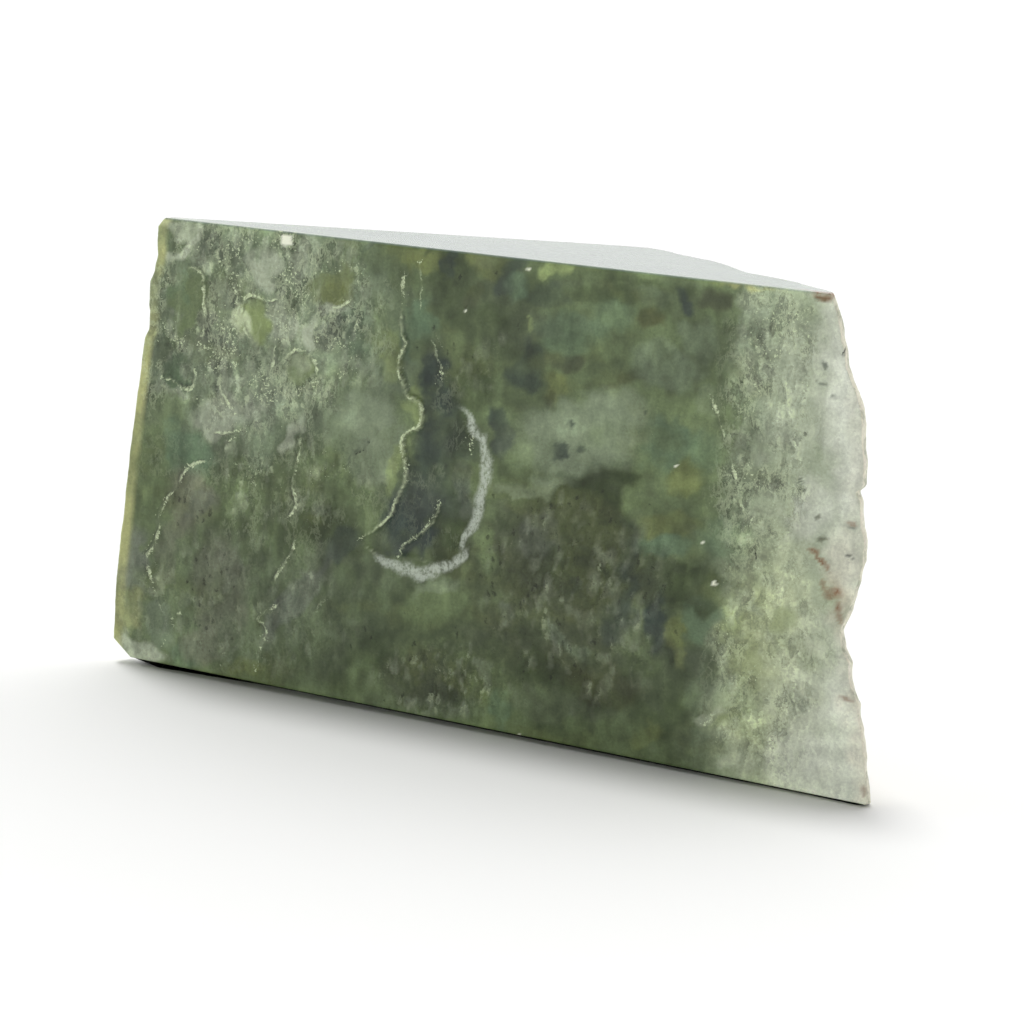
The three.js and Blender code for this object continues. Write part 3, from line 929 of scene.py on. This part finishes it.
def sawn_nephrite(colours):
    """Sawn nephrite: a felt of fine fibres, cloudy and a little see-through, with a satin saw-cut skin."""
    material = bpy.data.materials.new("sawn_nephrite")
    material.use_nodes = True
    tree = material.node_tree
    shader = tree.nodes["Principled BSDF"]
    shade = {name: (*getattr(colours, name), 1.0) for name in colours.bl_rna.properties.keys()[2:]}
    node = functools.partial(add, tree)

    def varied(body, pattern, depth):
        """The colour made lighter and darker by a pattern about 0, to a depth."""
        gain = node("Math", {0: pattern, 1: depth, 2: 1}, operation="MULTIPLY_ADD")
        return node("VectorMath", {0: body, "Scale": gain}, operation="SCALE")

    def laid_over(body, tone, cover, *others):
        """The colour with another tone over it, as far as every cover shows."""
        for other in others:
            cover = node("Math", {0: cover, 1: other}, operation="MULTIPLY")
        return node("Mix", {0: cover, 6: body, 7: tone}, 2, data_type="RGBA")

    mark = {name: node("Attribute", output="Fac", attribute_name=name) for name in MARKS}
    body = node("Attribute", output="Color", attribute_name="body")
    place = node("TexCoord", output="Object")
    bend = node("TexNoise", {"Vector": place, "Scale": per_mm(BEND_MM), "Detail": 1}, "Color")
    bend = node("VectorMath", {0: bend, 1: (0.5, 0.5, 0.5)}, operation="SUBTRACT")
    bend = node("VectorMath", {0: bend, "Scale": BEND_REACH_MM * MM}, operation="SCALE")
    bent = node("VectorMath", {0: place, 1: bend}, operation="ADD")
    lean = {"Rotation": (0, FIBRE_LEAN, 0), "Scale": (1, 1, FIBRE_SQUEEZE)}
    upright = node("Mapping", {"Vector": bent, **lean})
    noises = ((place, GRAIN_MM, 3, 0.65), (upright, FIBRE_MM, 3, 0.6), (upright, CREASE_MM, 5, 0.75),
              (place, CRUMB_MM, 2, 0.7))
    grain, fibre, crease, crumb = (
        node("TexNoise", {"Vector": way, "Scale": per_mm(length), "Detail": detail, "Roughness": rough})
        for way, length, detail, rough in noises
    )

    # Clouds on the back and the top, and the rind rubbed through to green
    cloud = {"From Min": 0.3, "From Max": 0.7, "To Min": -0.4, "To Max": 0.4}
    cloud = node("MapRange", {"Value": crease, **cloud})
    body = varied(body, cloud, mark["behind"])
    rubbed = node("MapRange", {"Value": crease, "From Min": 0.5, "From Max": 0.62, "To Max": 0.6})
    body = laid_over(body, shade["sage"], rubbed, mark["rind"])

    # Felt: fine light and dark grain, faint on the sawn stone and strong where it is crushed
    felt = node("MapRange", {"Value": grain, "From Min": 0.3, "From Max": 0.7, "To Min": -1})
    depth = node("Math", {0: mark["gritty"], 1: 0.12, 2: 0.13}, operation="MULTIPLY_ADD")
    body = varied(body, felt, depth)
    streak = node("MapRange", {"Value": fibre, "From Min": 0.32, "From Max": 0.72, "To Min": -0.7})
    depth = node("Math", {0: mark["gritty"], 1: 0.2}, operation="MULTIPLY")
    body = varied(body, streak, depth)

    # Flakes: cells of a crooked lattice, each lighter or darker than the next, and some chipped pale
    tangle = grain.node.outputs["Color"]
    skew = node("VectorMath", {0: tangle, 1: (0.5, 0.5, 0.5)}, operation="SUBTRACT")
    skew = node("VectorMath", {0: skew, "Scale": FLAKE_SKEW_MM * MM}, operation="SCALE")
    crooked = node("VectorMath", {0: upright, 1: skew}, operation="ADD")
    cell = node("TexVoronoi", {"Vector": crooked, "Scale": per_mm(CELL_MM)}, "Distance")
    chance = node("SeparateColor", {"Color": cell.node.outputs["Color"]}).node.outputs
    facet = node("MapRange", {"Value": chance["Blue"], "To Min": -1})
    depth = node("Math", {0: mark["gritty"], 1: 0.22, 2: 0.07}, operation="MULTIPLY_ADD")
    body = varied(body, facet, depth)
    chosen = node("MapRange", {"Value": chance["Blue"], "From Min": 0.76, "From Max": 0.8})
    core = node("MapRange", {"Value": cell, "From Min": 0.45, "From Max": 0.25, "To Max": 0.45})
    crushed = node("MapRange", {"Value": mark["gritty"], "From Min": 0.3, "From Max": 0.9})
    body = laid_over(body, shade["lip"], chosen, core, crushed)

    # Specks: dark mineral spots in some of the cells, with ragged outlines
    wobble = node("Math", {0: grain, 1: 0.5, 2: -0.25}, operation="MULTIPLY_ADD")
    reach = node("Math", {0: chance["Red"], 1: 0.3, 2: wobble}, operation="MULTIPLY_ADD")
    inside = node("Math", {0: reach, 1: cell}, operation="SUBTRACT")
    spot = node("MapRange", {"Value": inside, "From Min": -0.1, "From Max": 0.12, "To Max": 0.6})
    kept = node("Math", {0: chance["Green"], 1: mark["speckled"]}, operation="LESS_THAN")
    body = laid_over(body, shade["speck"], spot, kept)

    # Creases: crooked hair-thin pale ridges with a dark line of painted shade beside them, where a rough
    # noise crosses its middle
    for level, tone, strength in ((0.45, "speck", 0.35), (0.5, "lip", 0.3)):
        off = node("Math", {0: crease, 1: level}, operation="SUBTRACT")
        off = node("Math", {0: off}, operation="ABSOLUTE")
        hair = {"From Min": 0.05, "From Max": 0.012, "To Max": strength}
        hair = node("MapRange", {"Value": off, **hair})
        body = laid_over(body, shade[tone], hair, mark["creased"])

    # Crumbs: pale grains where a fine noise peaks, only where the stone crumbles
    raised = node("Math", {0: mark["crumbly"], 1: 0.2, 2: crumb}, operation="MULTIPLY_ADD")
    crumbs = node("MapRange", {"Value": raised, "From Min": 0.76, "From Max": 0.83, "To Max": 0.85})
    body = laid_over(body, shade["lip"], crumbs)

    # Lines: thin ragged pale edges of flakes, and cracks, each with a painted shadow on the side where the
    # stone drops
    across = node("Math", {0: wobble, 1: 9, 2: mark["line_offset"]}, operation="MULTIPLY_ADD")
    rising = node("MapRange", {"Value": across, "From Min": 0.2, "From Max": 1.4})
    falling = node("MapRange", {"Value": across, "From Min": 4.5, "From Max": 1.6})
    dark = node("Math", {0: rising, 1: falling}, operation="MULTIPLY")
    dark = node("Math", {0: dark, 1: mark["line_half"]}, operation="MULTIPLY")
    dark = node("Math", {0: dark, 1: 0.4}, operation="MULTIPLY", use_clamp=True)
    body = laid_over(body, shade["speck"], dark)
    away = node("Math", {0: across}, operation="ABSOLUTE")
    inside = node("Math", {0: mark["line_half"], 1: away}, operation="SUBTRACT")
    line = node("MapRange", {"Value": inside, "From Min": -0.5, "From Max": 0.4})
    shown = node("MapRange", {"Value": mark["line_half"], "From Min": 0.1, "From Max": 0.5})
    crumbled = node("MapRange", {"Value": grain, "From Min": 0.4, "From Max": 0.6, "To Min": 0.2})
    edge = laid_over(shade["speck"], shade["lip"], mark["line_tone"])
    body = laid_over(body, edge, line, shown, crumbled)

    # Scuff: stone dust dragged along a grinding wheel's path, with short upright scratches
    brushed = node("Math", {0: grain, 1: fibre}, operation="ADD")
    drag = {"From Min": 0.8, "From Max": 1.12, "To Min": 0.25, "To Max": 0.8}
    brushed = node("MapRange", {"Value": brushed, **drag})
    dust = node("Math", {0: brushed, 1: mark["scuff"]}, operation="MULTIPLY")
    body = laid_over(body, shade["scuff"], dust)
    body = laid_over(body, shade["chalk"], mark["chalk"])

    # Iron stains, broken up by the grain
    broken = node("MapRange", {"Value": grain, "From Min": 0.35, "From Max": 0.55, "To Min": 0.6})
    ragged = node("MapRange", {"Value": crease, "From Min": 0.42, "From Max": 0.55, "To Min": 0.75})
    body = laid_over(body, shade["rust"], broken, mark["stained"], ragged)

    # Finish: satin on the sawn stone, duller where it is crushed, scuffed or weathered
    rough = 0.36
    dulling = ((mark["gritty"], 0.14), (dust, 0.25), (mark["rind"], 0.3), (mark["top"], -0.14))
    for cover, share in dulling:
        rough = node("Math", {0: cover, 1: share, 2: rough}, operation="MULTIPLY_ADD")
    depth = node("Math", {0: mark["gritty"], 1: mark["rind"]}, operation="ADD")
    depth = node("Math", {0: depth, 1: 0.45, 2: 0.1}, operation="MULTIPLY_ADD")
    height = node("Math", {0: grain, 1: depth}, operation="MULTIPLY")
    normal = node("Bump", {"Height": height, "Strength": 0.6, "Distance": BUMP_MM * MM})

    for name, value in (("Base Color", body), ("Roughness", rough), ("Normal", normal)):
        tree.links.new(value, shader.inputs[name])
    shader.inputs["IOR"].default_value = STONE_IOR
    shader.inputs["Specular IOR Level"].default_value = 0.2
    shader.inputs["Subsurface Weight"].default_value = 0.1
    shader.inputs["Subsurface Radius"].default_value = (0.8, 1.0, 0.5)
    shader.inputs["Subsurface Scale"].default_value = GLOW_MM * MM
    return material


def matt_floor(tint):
    """A matt painted studio floor: even, almost white, with no gloss to speak of."""
    material = bpy.data.materials.new("matt_studio_floor")
    material.use_nodes = True
    shader = material.node_tree.nodes["Principled BSDF"]
    shader.inputs["Base Color"].default_value = (*tint, 1.0)
    shader.inputs["Roughness"].default_value = 0.9
    shader.inputs["Specular IOR Level"].default_value = 0.1
    return material


def show(context, name, data):
    """Links a new object that holds the data."""
    made = bpy.data.objects.new(name, data)
    context.scene.collection.objects.link(made)
    return made


class NEPHRITE_OT_block(bpy.types.Operator):
    """Adds the sawn block, which stands for the frame's solid."""

    bl_idname = "nephrite.block"
    bl_label = "Add Nephrite Block"

    def execute(self, context):
        scene = context.scene
        grid, middles, marks = block_grid(scene.nephrite_sizes)
        rows, columns = grid.shape[:2]
        points = np.concatenate([grid.reshape(-1, 3), middles])
        quads, triangles = grid_faces(rows, columns)
        placed = points * MM + np.array(LOW)
        mesh = mesh_from_arrays("nephrite", placed, quads, triangles)
        paint(mesh, scene.nephrite_colours, points, *marks)
        mesh.materials.append(sawn_nephrite(scene.nephrite_colours))
        block = show(context, "nephrite", mesh)
        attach(block, "root")
        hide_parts(NODE)
        return {"FINISHED"}


class NEPHRITE_OT_stage(bpy.types.Operator):
    """Adds the floor, the lights and the camera."""

    bl_idname = "nephrite.stage"
    bl_label = "Add Stage"

    def execute(self, context):
        scene = context.scene
        stage = scene.nephrite_stage
        reach = stage.floor_width / 2
        corners = reach * np.array([(-1, -1, 0), (1, -1, 0), (1, 1, 0), (-1, 1, 0)])
        mesh = mesh_from_arrays("floor", corners, np.array([[0, 1, 2, 3]]), np.empty((0, 3), int))
        mesh.materials.append(matt_floor(stage.floor_colour))
        show(context, "floor", mesh)

        world = bpy.data.worlds.new("white_surround")
        world.use_nodes = True
        tree = world.node_tree
        towards = add(tree, "TexCoord", output="Generated")
        sides = {0: towards, 1: BRIGHT_SIDE}
        backwards = add(tree, "VectorMath", sides, "Value", operation="DOT_PRODUCT")
        height = add(tree, "SeparateXYZ", {"Vector": towards}, "Z")
        low = {"From Max": FILL_TOP, "To Min": stage.fill, "To Max": stage.sky_front}
        front = add(tree, "MapRange", {"Value": height, **low}, interpolation_type="SMOOTHSTEP")
        ends = {"From Min": -0.4, "From Max": 0.4, "To Min": front, "To Max": stage.sky_back}
        fade = add(tree, "MapRange", {"Value": backwards, **ends}, interpolation_type="SMOOTHSTEP")
        surround = tree.nodes["Background"].inputs
        surround["Color"].default_value = (1, 1, 1, 1)
        tree.links.new(fade, surround["Strength"])
        scene.world = world
        scene.view_settings.view_transform = "Standard"

        light = bpy.data.lights.new("overhead_light", "SUN")
        light.energy = stage.lamp
        light.angle = stage.lamp_spread
        lamp = show(context, "overhead_light", light)
        lamp.rotation_euler = Vector(LAMP_COURSE).to_track_quat("-Z", "Y").to_euler()

        right, down, into = camera_axes()
        data = bpy.data.cameras.new("camera")
        data.sensor_width = SENSOR_MM
        data.lens = FOCAL_PX * SENSOR_MM / FRAME_PX
        data.clip_end = 50
        camera = show(context, "camera", data)
        turn = Matrix(np.stack([right, -down, -into], 1).tolist())
        camera.matrix_world = Matrix.Translation(LOW + Vector(CAMERA_PLACE) * MM) @ turn.to_4x4()
        scene.camera = camera
        return {"FINISHED"}


class NEPHRITE_PT_panel(bpy.types.Panel):
    """Lists the block's sizes and colours, the stage, and the buttons that add them."""

    bl_label = "Nephrite Block"
    bl_idname = "NEPHRITE_PT_panel"
    bl_space_type = "VIEW_3D"
    bl_region_type = "UI"
    bl_category = "Nephrite"

    def draw(self, context):
        scene = context.scene
        groups = (
            (scene.nephrite_sizes, None),
            (scene.nephrite_colours, NEPHRITE_OT_block.bl_idname),
            (scene.nephrite_stage, NEPHRITE_OT_stage.bl_idname),
        )
        for group, operator in groups:
            box = self.layout.box()
            for name in group.bl_rna.properties.keys()[2:]:
                box.prop(group, name)
            if operator:
                box.operator(operator)


GROUPS = {
    "nephrite_sizes": NephriteSizes,
    "nephrite_colours": NephriteColours,
    "nephrite_stage": StageSettings,
}
CLASSES = (*GROUPS.values(), NEPHRITE_OT_block, NEPHRITE_OT_stage, NEPHRITE_PT_panel)


def register():
    for made in CLASSES:
        bpy.utils.register_class(made)
    for name, group in GROUPS.items():
        setattr(bpy.types.Scene, name, PointerProperty(type=group))


def unregister():
    for name in GROUPS:
        delattr(bpy.types.Scene, name)
    for made in reversed(CLASSES):
        bpy.utils.unregister_class(made)


def main():
    register()
    bpy.ops.nephrite.block()
    bpy.ops.nephrite.stage()


if __name__ == "__main__":
    main()
